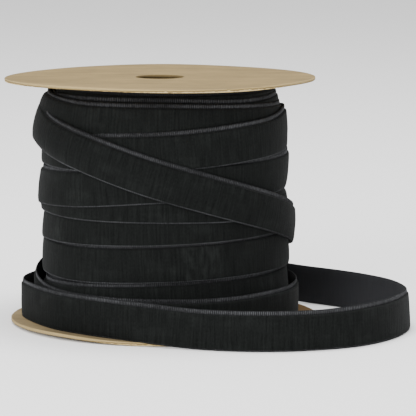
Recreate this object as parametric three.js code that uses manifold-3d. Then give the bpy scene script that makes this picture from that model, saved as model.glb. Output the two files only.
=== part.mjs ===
// Roll of velvet ribbon: narrow cut velvet wound on a two-flange spool of grey-brown board, the
// last turns worked loose and the tail thrown out to the right in one big standing loop.
// Millimetres, +Z up. The roll stands on its lower flange, seen from the front along +Y.
// Azimuths run anticlockwise seen from above, from 0 at the right: 90 back, 180 left, 270 front.
import * as THREE from 'three';
import { mergeVertices } from 'three/addons/utils/BufferGeometryUtils.js';
import Module from 'manifold-3d';

const wasm = await Module();
wasm.setup();

// Driving dimensions
const SPOOL_HEIGHT = 120;
const FLANGE_RADIUS = 76;
const FLANGE_THICKNESS = 1.5;
const FLANGE_HOLE_RADIUS = 11.8;
const FLANGE_SHIFT = 1.1; // the spool is a little out of true: top flange to the left, lower to the right
const CORE_OUTER_RADIUS = 15.5;
const CORE_BORE_RADIUS = 13.5;
const GAP = 0.3; // between pieces that touch
const EDGE_CLEARANCE = 2; // between the tail and the flange rim that it hangs over

const RIBBON_WIDTH = 19;
const SELVEDGE_WIDTH = 1.7;
const SHOULDER_WIDTH = 0.4; // the slope from the selvedge up to the pile
const PILE_RISE = 0.8; // how far the pile of a wound turn stands above its selvedges
const TAIL_THICKNESS = 1.4;
const TAIL_SELVEDGE_THICKNESS = 1.0;

const PACK_AXIS_X = 1.2; // the winding sits a little to the right on its core
const PACK_TOP = 113.6;
const PACK_BASE_RADIUS = 58; // the hidden turns, under the ones in the tables
const PACK_END_RADIUS = 53.5; // the same at the top, where the winding rounds over
const PACK_SHOULDER_HEIGHT = 9;
const TURN_DEPTH = 9; // how deep an outer turn reaches into the winding
const CROSSING_END_AZIMUTH = 60; // where the crossing turn leaves the winding, behind it

const STATION_DEGREES = 8;
const TAIL_STATION_LENGTH = 6.6;
const ROUND_SEGMENTS = 72;
const FLANGE_CURVE_SEGMENTS = 40;
const CORE_SEGMENTS = 48;
const LENGTH_DIVISIONS = 2000;
const MERGE_TOLERANCE = 1e-4;
const SWEEP_TURNS = 0.94; // the outer winding is swept in lengths that don't lap over themselves
const TENON_RINGS = 2;
const TENON_TURNS = ((TENON_RINGS - 0.5) * STATION_DEGREES) / 360;
const TENON_INSET = 0.06;

function table(columns, rows) {
  return rows.map((row) => Object.fromEntries(columns.map((column, i) => [column, row[i]])));
}

// Height of each turn's lower selvedge above the floor, at eight sides of the roll.
// The outer turns are one length of ribbon, so each row runs on into the next.
const SIDES = ['left', 'frontLeft', 'front', 'frontRight', 'right', 'backRight', 'back', 'backLeft'];
const OUTER_HEIGHTS = table(['turn', ...SIDES], [
  ['lowest', 4.0, 6.2, 9.0, 10.4, 11.0, 13.0, 17.0, 21.5],
  ['second', 25.5, 25.4, 27.3, 28.7, 29.0, 31.0, 35.0, 39.0],
  ['third', 42.0, 43.2, 44.9, 46.3, 47.3, 49.0, 51.5, 54.0],
  ['fourth', 56.0, 55.4, 55.6, 54.9, 55.0, 55.8, 57.0, 58.0],
  ['fifth', 59.0, 61.3, 65.2, 65.6, 66.6, 69.0, 72.5, 76.0],
  ['sixth', 78.8, 78.6, 80.2, 83.6, 85.6, 87.0, 88.3, 89.2],
  ['crossing', 88.6, 80.7, 66.2, 51.5, 38.1, 29.5, 23.5, 15.5],
]);
const TOP_HEIGHTS = table(['turn', ...SIDES], [
  ['shoulder', 95.2, 92.2, 91.6, 89.6, 90.3, 92.0, 94.0, 95.4],
  ['topmost', 96.4, 96.2, 95.2, 94.2, 95.0, 95.6, 96.0, 96.4],
]);

// Radius of each turn's pile from the winding's axis, halfway up the turn, and its lean:
// how much further out its lower selvedge stands than its upper one.
const QUARTERS = ['left', 'front', 'right', 'back'];
const OUTER_RADII = table(['turn', ...QUARTERS, 'lean'], [
  ['lowest', 60.6, 60.8, 60.6, 60.8, 1.6],
  ['second', 60.4, 60.9, 61.3, 61.0, 1.6],
  ['third', 60.2, 60.8, 61.2, 60.8, 1.6],
  ['fourth', 60.6, 60.9, 60.6, 60.6, 1.6],
  ['fifth', 61.4, 61.2, 60.6, 60.8, 2.0],
  ['sixth', 59.8, 61.2, 60.0, 60.6, 1.2],
  ['crossing', 63.8, 64.3, 64.0, 63.6, 0.6],
]);
const TOP_RADII = table(['turn', ...QUARTERS, 'lean'], [
  ['shoulder', 58.6, 58.3, 57.3, 58.4, 2.2],
  ['topmost', 56.2, 55.8, 55.4, 56.0, 1.4],
]);

// The tail's inner run, round the foot of the winding: azimuth, radius of the ribbon's middle
// from the spool's axis, and height of its lower selvedge.
const REST_HEIGHT = FLANGE_THICKNESS + GAP;
const TAIL_TURN = table(['azimuth', 'radius', 'low'], [
  [75, 63.5, 25.2],
  [95, 63.4, 22.0],
  [120, 63.2, 17.2],
  [150, 62.7, 11.4],
  [170, 62.8, 8.2],
  [187, 62.6, 5.2],
  [205, 61.7, 2.6],
  [225, 61.5, REST_HEIGHT],
  [241, 62.6, REST_HEIGHT],
  [256, 64.6, REST_HEIGHT],
  [284, 66.9, REST_HEIGHT],
  [301, 66.8, REST_HEIGHT],
  [318, 65.4, REST_HEIGHT],
  [340, 65.9, REST_HEIGHT],
  [364, 66.6, REST_HEIGHT],
  [386, 68.4, REST_HEIGHT],
  [415, 69.2, REST_HEIGHT],
  [450, 68.8, REST_HEIGHT],
  [495, 68.6, REST_HEIGHT],
  [525, 68.8, REST_HEIGHT],
]);

// The tail's outer run: in front of the roll, over the rim, round the big loop on the right,
// back over the rim and behind the roll to the cut end.
const RIM_HEIGHT = FLANGE_THICKNESS + EDGE_CLEARANCE;
const TAIL_LOOP = table(['x', 'y', 'low'], [
  [-68.9, 0, REST_HEIGHT],
  [-62.6, -19.5, REST_HEIGHT],
  [-51.6, -38.4, REST_HEIGHT],
  [-44.4, -46.2, REST_HEIGHT],
  [-31.8, -57.4, REST_HEIGHT],
  [-19, -67.2, 2.2],
  [-9, -73.6, RIM_HEIGHT],
  [-1, -77.6, RIM_HEIGHT],
  [6, -80.3, 2.0],
  [13, -83.2, 0.6],
  [22, -86.8, 0],
  [35, -90.2, 0],
  [47, -91.3, 0],
  [59, -90.4, 0],
  [71, -87.2, 0],
  [84, -81.2, 0],
  [93.2, -75.6, 0],
  [103, -65.8, 0],
  [110.2, -55, 0],
  [115.6, -42.8, 0],
  [118.8, -29, 0],
  [118.6, -16, 0],
  [116.2, -3.4, 0],
  [111.6, 7, 0],
  [104, 17.2, 0],
  [95.4, 26.4, 0],
  [85.4, 35.6, 0],
  [74.8, 44.6, 0.4],
  [66.4, 51, 1.8],
  [57.2, 56.6, RIM_HEIGHT],
  [49, 60.4, RIM_HEIGHT],
  [38, 64.2, 2.4],
  [24, 68.6, REST_HEIGHT],
  [8, 72.4, REST_HEIGHT],
  [-10, 72.8, REST_HEIGHT],
  [-26, 68.8, REST_HEIGHT],
  [-38, 63, REST_HEIGHT],
]);

const board = { color: 0xb3a283, roughness: 0.85, metalness: 0 };
const velvet = { color: 0x1c1b1c, roughness: 0.95, metalness: 0 };

// A Catmull-Rom value at place t of an evenly spaced list, steady past its last one
function smooth(values, t) {
  const last = values.length - 1;
  const i = Math.min(Math.max(Math.floor(t), 0), last - 1);
  const pick = (k) => values[Math.min(Math.max(k, 0), last)];
  const [a, b, c, d] = [pick(i - 1), pick(i), pick(i + 1), pick(i + 2)];
  const u = Math.min(t - i, 1);
  return b + 0.5 * u * (c - a + u * (2 * a - 5 * b + 4 * c - d + u * (3 * (b - c) + d - a)));
}

// The values of a run of rows in winding order
function listed(rows, columns) {
  return rows.flatMap((row) => columns.map((column) => row[column]));
}

// Height, radius and lean of a winding at a place counted in turns from its first left side
function windingOf(heights, radii) {
  const heightList = listed(heights, SIDES);
  const radiusList = listed(radii, QUARTERS);
  const leanList = listed(radii, ['lean']);
  return (turns) => ({
    height: smooth(heightList, turns * SIDES.length),
    radius: smooth(radiusList, turns * QUARTERS.length),
    lean: smooth(leanList, turns),
  });
}

// Section of a wound turn: v up the width from the lower selvedge, n outwards from the pile
const TURN_SECTION = [
  [0, -TURN_DEPTH],
  [0, -PILE_RISE],
  [SELVEDGE_WIDTH, -PILE_RISE],
  [SELVEDGE_WIDTH + SHOULDER_WIDTH, 0],
  [RIBBON_WIDTH - SELVEDGE_WIDTH - SHOULDER_WIDTH, 0],
  [RIBBON_WIDTH - SELVEDGE_WIDTH, -PILE_RISE],
  [RIBBON_WIDTH, -PILE_RISE],
  [RIBBON_WIDTH, -TURN_DEPTH],
];

// Section of the tail: a flat back, thin selvedges and the pile standing between them
const TAIL_BACK = -TAIL_THICKNESS / 2;
const TAIL_EDGE = TAIL_BACK + TAIL_SELVEDGE_THICKNESS;
const TAIL_SECTION = [
  [0, TAIL_BACK],
  [0, TAIL_EDGE],
  [SELVEDGE_WIDTH, TAIL_EDGE],
  [SELVEDGE_WIDTH + SHOULDER_WIDTH, TAIL_THICKNESS / 2],
  [RIBBON_WIDTH - SELVEDGE_WIDTH - SHOULDER_WIDTH, TAIL_THICKNESS / 2],
  [RIBBON_WIDTH - SELVEDGE_WIDTH, TAIL_EDGE],
  [RIBBON_WIDTH, TAIL_EDGE],
  [RIBBON_WIDTH, TAIL_BACK],
];

// Joins equal rings of points into one closed skin, with end caps unless the run is a ring
function skin(rings, section, closed) {
  const count = section.length;
  const positions = rings.flat().flatMap((point) => point.toArray());
  const index = [];
  const spans = closed ? rings.length : rings.length - 1;
  for (let i = 0; i < spans; i += 1) {
    const here = i * count;
    const next = ((i + 1) % rings.length) * count;
    for (let j = 0; j < count; j += 1) {
      const k = (j + 1) % count;
      index.push(here + j, next + j, next + k, here + j, next + k, here + k);
    }
  }
  if (!closed) {
    const outline = section.map(([v, n]) => new THREE.Vector2(v, n));
    const end = (rings.length - 1) * count;
    for (const [a, b, c] of THREE.ShapeUtils.triangulateShape(outline, [])) {
      index.push(a, c, b, end + a, end + b, end + c);
    }
  }
  const geometry = new THREE.BufferGeometry();
  geometry.setAttribute('position', new THREE.Float32BufferAttribute(positions, 3));
  geometry.setIndex(index);
  return geometry;
}

// A length of the winding, between two places counted in turns from the left side of its first
// row. A length that goes on from another starts as a tenon, a little smaller, inside its end.
function turnGeometry(winding, from, to, closed = false, tenonRings = 0) {
  const steps = Math.round(((to - from) * 360) / STATION_DEGREES);
  const rings = [];
  for (let i = 0; i < (closed ? steps : steps + 1); i += 1) {
    const turns = from + ((to - from) * i) / steps;
    const { height, radius, lean } = winding(turns);
    const azimuth = Math.PI * (1 + 2 * turns);
    const inset = i < tenonRings ? TENON_INSET : 0;
    rings.push(TURN_SECTION.map(([v, n]) => {
      const out = radius + n - inset + lean * (0.5 - v / RIBBON_WIDTH);
      const up = height + v + inset * Math.sign(RIBBON_WIDTH / 2 - v);
      return new THREE.Vector3(PACK_AXIS_X + out * Math.cos(azimuth), out * Math.sin(azimuth), up);
    }));
  }
  return skin(rings, TURN_SECTION, closed);
}

function manifoldOf(geometry) {
  const plain = geometry.clone();
  plain.deleteAttribute('normal');
  plain.deleteAttribute('uv');
  const merged = mergeVertices(plain, MERGE_TOLERANCE);
  return new wasm.Manifold(new wasm.Mesh({
    numProp: 3,
    vertProperties: Float32Array.from(merged.attributes.position.array),
    triVerts: Uint32Array.from(merged.index.array),
  }));
}

function geometryOf(manifold) {
  const mesh = manifold.getMesh();
  const geometry = new THREE.BufferGeometry();
  geometry.setAttribute('position', new THREE.BufferAttribute(mesh.vertProperties, 3));
  geometry.setIndex(new THREE.BufferAttribute(mesh.triVerts, 1));
  geometry.computeVertexNormals();
  return geometry;
}

// A ring turned about the Z axis from a closed outline of radius and height
function ringGeometry(outline, segments) {
  const points = [...outline, outline[0]].map(([radius, z]) => new THREE.Vector2(radius, z));
  return new THREE.LatheGeometry(points, segments).rotateX(Math.PI / 2);
}

function flangeGeometry() {
  const outline = new THREE.Shape().absarc(0, 0, FLANGE_RADIUS, 0, 2 * Math.PI);
  outline.holes.push(new THREE.Path().absarc(0, 0, FLANGE_HOLE_RADIUS, 0, 2 * Math.PI, true));
  const options = { depth: FLANGE_THICKNESS, bevelEnabled: false, curveSegments: FLANGE_CURVE_SEGMENTS };
  return new THREE.ExtrudeGeometry(outline, options);
}

function coreGeometry() {
  const bottom = FLANGE_THICKNESS + GAP;
  const top = SPOOL_HEIGHT - FLANGE_THICKNESS - GAP;
  return ringGeometry([
    [CORE_BORE_RADIUS, bottom],
    [CORE_OUTER_RADIUS, bottom],
    [CORE_OUTER_RADIUS, top],
    [CORE_BORE_RADIUS, top],
  ], CORE_SEGMENTS);
}

// The hidden inner turns, as one ring that rounds over at the top
function innerTurnsGeometry() {
  const inner = CORE_OUTER_RADIUS + GAP + PACK_AXIS_X;
  return ringGeometry([
    [inner, REST_HEIGHT],
    [PACK_BASE_RADIUS, REST_HEIGHT],
    [PACK_BASE_RADIUS, PACK_TOP - PACK_SHOULDER_HEIGHT],
    [PACK_END_RADIUS, PACK_TOP],
    [inner, PACK_TOP],
  ], ROUND_SEGMENTS).translate(PACK_AXIS_X, 0, 0);
}

const outerWinding = windingOf(OUTER_HEIGHTS, OUTER_RADII);
const CROSSING_END = OUTER_HEIGHTS.length - 1 + (CROSSING_END_AZIMUTH + 180) / 360;

// The wound ribbon: the inner turns, the two turns under the top flange, which meet
// themselves and so repeat their row, then the outer ones
function woundGeometry() {
  let wound = manifoldOf(innerTurnsGeometry());
  TOP_HEIGHTS.forEach((heights, i) => {
    const around = [heights, heights, heights];
    const winding = windingOf(around, [TOP_RADII[i], TOP_RADII[i], TOP_RADII[i]]);
    wound = wound.add(manifoldOf(turnGeometry(winding, 1, 2, true)));
  });
  for (let start = 0; start < CROSSING_END; start += SWEEP_TURNS) {
    const from = start === 0 ? 0 : start - TENON_TURNS;
    const to = Math.min(start + SWEEP_TURNS, CROSSING_END);
    const tenonRings = start === 0 ? 0 : TENON_RINGS;
    wound = wound.add(manifoldOf(turnGeometry(outerWinding, from, to, false, tenonRings)));
  }
  return geometryOf(wound);
}

// The tail's middle line: x, y and the height of the lower selvedge
function tailRoute() {
  const leaving = outerWinding(CROSSING_END);
  const azimuth = THREE.MathUtils.degToRad(CROSSING_END_AZIMUTH) + (2 * GAP) / leaving.radius;
  const middle = leaving.radius - TAIL_THICKNESS / 2;
  const start = new THREE.Vector3(
    PACK_AXIS_X + middle * Math.cos(azimuth),
    middle * Math.sin(azimuth),
    leaving.height,
  );
  const turn = TAIL_TURN.map((row) => {
    const angle = THREE.MathUtils.degToRad(row.azimuth);
    return new THREE.Vector3(row.radius * Math.cos(angle), row.radius * Math.sin(angle), row.low);
  });
  const loop = TAIL_LOOP.map((row) => new THREE.Vector3(row.x, row.y, row.low));
  return new THREE.CatmullRomCurve3([start, ...turn, ...loop], false, 'centripetal');
}

// The tail stands on its lower selvedge with its pile outwards, so its sections stay upright
function tailGeometry() {
  const route = tailRoute();
  route.arcLengthDivisions = LENGTH_DIVISIONS;
  const steps = Math.round(route.getLength() / TAIL_STATION_LENGTH);
  const rings = [];
  for (let i = 0; i <= steps; i += 1) {
    const place = route.getPointAt(i / steps);
    const along = route.getTangentAt(i / steps);
    const outward = new THREE.Vector3(along.y, -along.x, 0).normalize();
    rings.push(TAIL_SECTION.map(([v, n]) => {
      const point = place.clone().addScaledVector(outward, n);
      point.z = Math.max(place.z, 0) + v;
      return point;
    }));
  }
  return skin(rings, TAIL_SECTION, false);
}

function piece(name, geometry, finish) {
  const mesh = new THREE.Mesh(geometry, new THREE.MeshStandardMaterial(finish));
  mesh.name = name;
  return mesh;
}

function buildRoll() {
  const roll = new THREE.Group();
  const lower = piece('flange_bottom', flangeGeometry(), board);
  lower.position.set(FLANGE_SHIFT, 0, 0);
  const upper = piece('flange_top', flangeGeometry(), board);
  upper.position.set(-FLANGE_SHIFT, 0, SPOOL_HEIGHT - FLANGE_THICKNESS);
  roll.add(lower, upper);
  roll.add(piece('core_tube', coreGeometry(), board));
  roll.add(piece('wound_ribbon', woundGeometry(), velvet));
  roll.add(piece('loose_ribbon', tailGeometry(), velvet));
  return roll;
}

// The origin is the middle of the part's box, on the surface that it stands on
const roll = buildRoll();
const box = new THREE.Box3().setFromObject(roll, true);
const centre = box.getCenter(new THREE.Vector3());
roll.position.set(-centre.x, -centre.y, -box.min.z);

export default roll;
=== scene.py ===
import math

import bpy
import numpy as np
from bpy.props import FloatProperty, FloatVectorProperty, IntProperty, PointerProperty
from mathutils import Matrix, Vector, noise


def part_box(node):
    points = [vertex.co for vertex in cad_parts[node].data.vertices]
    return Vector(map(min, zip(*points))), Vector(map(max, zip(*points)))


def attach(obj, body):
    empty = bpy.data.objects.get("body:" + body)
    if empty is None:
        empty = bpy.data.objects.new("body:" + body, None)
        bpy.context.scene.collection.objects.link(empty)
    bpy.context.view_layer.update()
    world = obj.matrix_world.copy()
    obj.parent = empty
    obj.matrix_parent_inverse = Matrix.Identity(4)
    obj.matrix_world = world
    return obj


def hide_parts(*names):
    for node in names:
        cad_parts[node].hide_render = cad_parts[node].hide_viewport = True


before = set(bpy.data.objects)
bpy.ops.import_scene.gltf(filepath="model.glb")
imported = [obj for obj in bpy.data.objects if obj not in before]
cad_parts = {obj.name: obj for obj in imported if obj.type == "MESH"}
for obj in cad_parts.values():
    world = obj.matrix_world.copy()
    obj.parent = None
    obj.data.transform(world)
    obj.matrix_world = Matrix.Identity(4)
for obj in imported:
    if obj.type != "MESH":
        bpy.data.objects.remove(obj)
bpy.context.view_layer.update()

bl_info = {
    "name": "Roll of velvet ribbon",
    "version": (1, 0, 0),
    "blender": (4, 5, 0),
    "location": "3D View > Sidebar > Ribbon",
    "description": "Dresses a board spool with its wound velvet ribbon, loose tail and soft studio stage",
    "category": "Add Mesh",
}

# Everything made is in metres. In the tables and values below, a length that isn't given with MM is in
# millimetres, apart from those of the lights and the floor.
MM = 0.001
ROOT = "root"

# The frame's own sizes
TOP_LOW, TOP_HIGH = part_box("flange_top")
FOOT_LOW, FOOT_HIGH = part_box("flange_bottom")
CORE_LOW, CORE_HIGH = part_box("core_tube")
SPOOL_X = (TOP_LOW.x + TOP_HIGH.x + FOOT_LOW.x + FOOT_HIGH.x) / 4
SPOOL_Y = (TOP_LOW.y + TOP_HIGH.y) / 2
BOARD = TOP_HIGH.z - TOP_LOW.z
CORE_RADIUS = (CORE_HIGH.x - CORE_LOW.x) / 2
# The winding stands a little to the right of the spool's own axis
PACK_AXIS_X = 1.2 * MM
PACK_AXIS = np.array([SPOOL_X + PACK_AXIS_X, SPOOL_Y, 0])
UP = np.array([0, 0, 1.0])


def table(columns, rows):
    """Rows of values under named columns."""
    return [dict(zip(columns, row)) for row in rows]


# Height of each turn's lower selvedge, at eight sides of the roll. Each row runs on into the next.
SIDES = ("left", "front_left", "front", "front_right", "right", "back_right", "back", "back_left")
OUTER_HEIGHTS = table(("turn", *SIDES), [
    ("lowest", 4.0, 6.2, 9.0, 10.4, 11.0, 13.0, 17.0, 21.5),
    ("second", 25.5, 25.4, 27.3, 28.7, 29.0, 31.0, 35.0, 39.0),
    ("third", 42.0, 43.2, 44.9, 46.3, 47.3, 49.0, 51.5, 54.0),
    ("fourth", 56.0, 55.4, 55.6, 54.9, 55.0, 55.8, 57.0, 58.0),
    ("fifth", 59.0, 61.3, 65.2, 65.6, 66.6, 69.0, 72.5, 76.0),
    ("sixth", 78.8, 78.6, 80.2, 83.6, 85.6, 87.0, 88.3, 89.2),
    ("crossing", 88.6, 80.7, 66.2, 51.5, 38.1, 29.5, 23.5, 15.5),
])
TOP_HEIGHTS = table(("turn", *SIDES), [
    ("shoulder", 95.8, 93.3, 93.2, 91.6, 90.3, 91.8, 94.0, 95.6),
    ("topmost", 95.2, 95.3, 95.5, 93.9, 95.0, 95.6, 96.0, 96.0),
])

# Radius of each turn's pile halfway up it, how much further out its lower selvedge stands than its
# upper one, and how far the selvedges fall back from the middle.
SHAPE = ("turn", "left", "front", "right", "back", "lean_left", "lean_right", "bow_left", "bow_right")
OUTER_SHAPES = table(SHAPE, [
    ("lowest", 60.6, 60.8, 60.6, 60.8, 1.6, 1.6, 0.4, 0.4),
    ("second", 60.4, 60.9, 61.0, 61.0, 0.8, 1.6, 0.4, 0.4),
    ("third", 59.9, 60.2, 60.6, 60.8, 2.4, 1.6, 0.4, 0.4),
    ("fourth", 60.6, 60.4, 59.0, 60.6, 1.6, 1.6, 0.3, 0.4),
    ("fifth", 61.9, 61.6, 60.8, 61.0, 2.2, -1.4, 0.5, 0.5),
    ("sixth", 60.2, 61.3, 60.2, 60.6, 1.4, 0.6, 0.3, 0.5),
    ("crossing", 64.6, 64.4, 64.3, 63.6, 1.2, -0.6, 0.6, 0.8),
])
TOP_SHAPES = table(SHAPE, [
    ("shoulder", 59.1, 58.7, 58.2, 58.6, 1.8, 1.8, 0.6, 0.5),
    ("topmost", 56.2, 55.8, 55.8, 56.0, 1.0, 0.4, 0.4, 0.3),
])

# The crossing turn ends behind the roll, where the tail starts
CROSSING_END_AZIMUTH = 60
CROSSING_END = len(OUTER_HEIGHTS) - 1 + (CROSSING_END_AZIMUTH + 180) / 360
# What the outer turns' lengths are reckoned with when they are cut into steps
MEAN_RADIUS = 61

# Where a turn is pulled out of shape: place from its left side and reach, both in turns, then how far
# out it is pulled, what its upper selvedge is stretched by, and its added bow and bow's crest
PULLS = table(("turn", "place", "reach", "out", "extra", "bow", "crest"), [
    ("fifth", 0.36, 0.07, -0.5, 0, 0, 0),
    ("sixth", 0.34, 0.07, 0.8, 0, 0, 0),
    ("sixth", 0.49, 0.05, 0, 2.4, 0, 0),
    ("crossing", 0.012, 0.04, 0, 2.8, 0, 0),
    ("crossing", 0, 0.13, 0, 0, 3.3, -5.5),
    ("fourth", 0.34, 0.07, 0.7, 0, 0, 0),
    ("shoulder", 0, 0.08, 2.6, 0, 2.9, 0),
])

# Where the pile is crushed and catches the light
CRUSHED = table(("turn", "place", "reach", "crush"), [
    ("lowest", 0.391, 0.007, 0.4),
    ("lowest", 0.416, 0.006, 0.7),
    ("second", 0.282, 0.006, 0.6),
    ("second", 0.300, 0.006, 0.5),
    ("second", 0.316, 0.009, 0.6),
    ("third", 0.087, 0.009, 0.5),
    ("fourth", 0.087, 0.007, 0.4),
    ("fifth", 0.13, 0.014, 0.3),
])

# The tail round the foot of the roll: azimuth, radius of its middle from the spool, lower selvedge
TAIL_TURN = table(("azimuth", "radius", "low"), [
    (75, 63.5, 25.2),
    (95, 63.4, 22.0),
    (120, 63.2, 17.2),
    (150, 62.7, 11.4),
    (170, 62.8, 8.2),
    (187, 62.6, 5.2),
    (205, 61.7, 2.6),
    (225, 61.5, 1.5),
    (241, 62.6, 1.5),
    (256, 64.6, 1.5),
    (284, 66.9, 1.5),
    (301, 66.8, 1.5),
    (318, 65.4, 1.5),
    (340, 65.9, 1.5),
    (364, 66.6, 1.5),
    (386, 68.4, 1.5),
    (415, 69.2, 1.5),
    (450, 68.8, 1.5),
    (495, 68.6, 1.5),
    (525, 68.8, 1.5),
])
# The tail in front of the roll, round the loop and back behind it
TAIL_LOOP = table(("x", "y", "low"), [
    (-69.2, 0, 1.5),
    (-62.6, -19.5, 1.5),
    (-51.6, -38.4, 1.5),
    (-44.4, -46.2, 1.5),
    (-31.8, -57.4, 1.5),
    (-19, -67.4, 1.5),
    (-9, -74.4, 1.5),
    (-1, -78.0, 1.1),
    (6, -80.5, 0.6),
    (13, -82.5, 0.2),
    (22, -85.4, 0),
    (35, -88.6, 0),
    (47, -89.7, 0),
    (59, -89.0, 0),
    (71, -86.2, 0),
    (84, -81.2, 0),
    (93.2, -75.6, 0),
    (103, -65.8, 0),
    (110.2, -55, 0),
    (115.6, -42.8, 0),
    (119.2, -29, 0),
    (119, -16, 0),
    (116.6, -3.4, 0),
    (112, 7.4, 0),
    (104.6, 18, 0),
    (96, 27.8, 0),
    (86, 37.2, 0),
    (75.2, 46, 0),
    (66.4, 51, 0.5),
    (57.2, 56.6, 1.2),
    (49, 60.4, 1.8),
    (38, 64.2, 1.5),
    (24, 68.6, 1.5),
    (8, 72.4, 1.5),
    (-10, 72.8, 1.5),
    (-26, 68.8, 1.5),
    (-38, 63, 1.5),
])

# How much taller the tail stands where the loop turns back on the right, and how far its upper
# selvedge leans in there. Each grows between two values of x, and the first also of -y.
LOOP_STRETCH = 1.0
LOOP_STRETCH_X = (75, 100)
LOOP_STRETCH_FRONT = (8, 38)
LOOP_LEAN = 1.1
LOOP_LEAN_X = (100, 115)
# Length in which the tail loses the lean and bow that the crossing turn ends with
TAIL_SETTLES = 25

# The boards: bevel of their cut rims, and steps across each face
BEVEL = 0.25 * MM
FACE_RINGS = 8

# How far the upper flange's rim stands up from flat, every 30 degrees round it
UPPER_WARP = (0.3, -0.05, -0.1, 0.28, -0.1, -0.45, -0.2, 0.45, 0.8, 0.3, -0.05, 0.7)

# The lower flange's rim curls up a little outside the tail: radius where that starts, azimuth where it
# is highest, and how many degrees it reaches to the left and to the front
CURL_START = 67.5
CURL_AZIMUTH = 228.0
CURL_REACH_LEFT = 40.0
CURL_REACH_FRONT = 21.0

# The lower flange's face takes a lighter, greyer copy of the board colour, painted light that makes up for
# the top flange's shade. To the right of these places, over these distances, it is darkened as painted
# shade, and then turned a darker brown as a painted shadow.
LOWER_PAINTED_LIGHT_TINT = (1.2, 1.27, 1.58)
# Painted shade: from here the lower face turns darker, where the tail and the top flange shade it
PAINTED_SHADE_FROM = -84 * MM
PAINTED_SHADE_OVER = 14 * MM
# Painted shadow: further right the lower face turns a darker brown, where the tail's loop and the roll
# shade it
PAINTED_SHADOW_FROM = 30 * MM
PAINTED_SHADOW_OVER = 12 * MM
PAINTED_SHADOW_TINT = (0.42, 0.32, 0.2)

# The core tube's steps up and round, its wall, the rise of its spiral seam in one turn, and the seam's
# reach and depth
CORE_RINGS = 90
CORE_SEGMENTS = 96
CORE_WALL = 2 * MM
SEAM_RISE = 46 * MM
SEAM_REACH = 0.7 * MM
SEAM_DEPTH = 0.3 * MM

# The plain body behind the outer turns: its gap from the core, its outer outline of radius and height,
# and steps round it
BODY_GAP = 1.8
BODY_OUTLINE = ((57.6, 2), (57.9, 2.6), (57.9, 95), (55, 100))
BODY_SEGMENTS = 144

# The hidden turns at the body's top end: first and last radius, lower selvedge, step between sections
SPIRAL_INNER = 18.9
SPIRAL_OUTER = 54.2
SPIRAL_LOW = 98.0
SPIRAL_STEP = 4.0

# Section of the ribbon: lift from the back, place across it upwards from its middle, and part.
# The pile's nap lies downwards over the lower selvedge, which peeps out as a thin lip, and leaves the
# upper one clear.
WIDTH = 19.0
THICKNESS = 1.5
SELVEDGE_LIFT = 0.5
BACK, EDGE, PILE = 0.0, 1.0, 2.0
# A face is taken for a part while its corners' mean number is less than this above the part's own
PART_MARGIN = 0.25
SECTION = table(("lift", "across", "part"), [
    (0.0, -9.3, BACK), (0.0, -5.0, BACK), (0.0, 0.0, BACK), (0.0, 5.0, BACK), (0.0, 9.3, BACK),
    (0.12, 9.5, EDGE), (0.38, 9.5, EDGE), (0.5, 9.3, EDGE), (0.52, 8.3, EDGE), (0.5, 7.3, EDGE),
    (0.8, 7.18, PILE), (1.15, 7.08, PILE), (1.38, 6.85, PILE), (1.47, 6.4, PILE), (1.5, 5.6, PILE),
    (1.52, 3.6, PILE), (1.54, 1.2, PILE), (1.54, -1.2, PILE), (1.52, -3.6, PILE), (1.5, -6.4, PILE),
    (1.46, -8.0, PILE), (1.34, -8.65, PILE), (1.16, -8.9, PILE), (0.98, -8.84, EDGE),
    (1.02, -9.1, EDGE), (1.0, -9.4, EDGE), (0.86, -9.5, EDGE), (0.12, -9.5, EDGE),
])

# The weft picks: place of the upper ones across the ribbon, lengths, how far from the edge the middle
# of a lower one is as a share of its length, how far below the pile's top it lies, breadth, height, and
# how much their breadths and lengths vary
UPPER_PICK_PLACE = 8.4
UPPER_PICK_LENGTH = 2.15
LOWER_PICK_LENGTH = 1.05
TAIL_LOWER_PICK_LENGTH = 1.9
LOWER_PICK_INSET = 0.575
LOWER_PICK_DROP = 0.4
PICK_BREADTH = 0.6
PICK_HEIGHT = 0.48
PICK_JITTER = 0.15

# Spacing of the weft that the selvedges' and the back's own surfaces show
SELVEDGE_WEFT = 1.1
BACK_WEFT = 0.55

# The seed of each board's ragged rims, each ribbon's uneven pile and each piece's picks
SEEDS = {
    "lower_flange": 3.1,
    "upper_flange": 8.4,
    "inner_turns": 5,
    "outer_turns": 1,
    "outer_selvedge_picks": 11,
    "shoulder_turn": 13,
    "shoulder_turn_picks": 12,
    "topmost_turn": 12,
    "topmost_turn_picks": 12,
    "tail": 2,
    "tail_selvedge_picks": 21,
}

# Soft disk lights: place, diameter and power in watts
LIGHTS = table(("name", "place", "size", "energy"), [
    ("key", (-0.9, -1.5, 0.75), 0.9, 26),
    ("fill", (1.3, -1.1, 0.5), 0.9, 1),
    ("front", (-0.2, -2.1, 0.12), 0.9, 13),
    ("overhead", (0, 0, 1.9), 1.2, 48),
])
LIGHTS_AIM = (SPOOL_X, SPOOL_Y, 0.06)

# Place of the camera from the middle of the spool's foot, and degrees that it looks down
CAMERA_RIGHT = 22.38 * MM
CAMERA_BACK = 1309.52 * MM
CAMERA_HEIGHT = 229.97 * MM
CAMERA_TILT = 7.603

# The floor's half width, and how far it lies below the spool
FLOOR_REACH = 9.0
FLOOR_DROP = 0.2 * MM


def smooth(values, t):
    """A Catmull-Rom value at place t of an evenly spaced list, steady past its last one."""
    last = len(values) - 1
    i = min(max(math.floor(t), 0), last - 1)
    a, b, c, d = (values[min(max(k, 0), last)] for k in (i - 1, i, i + 1, i + 2))
    u = min(t - i, 1)
    return b + 0.5 * u * (c - a + u * (2 * a - 5 * b + 4 * c - d + u * (3 * (b - c) + d - a)))


def listed(rows, columns):
    """The values of some rows in winding order."""
    return [row[column] for row in rows for column in columns]


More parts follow.
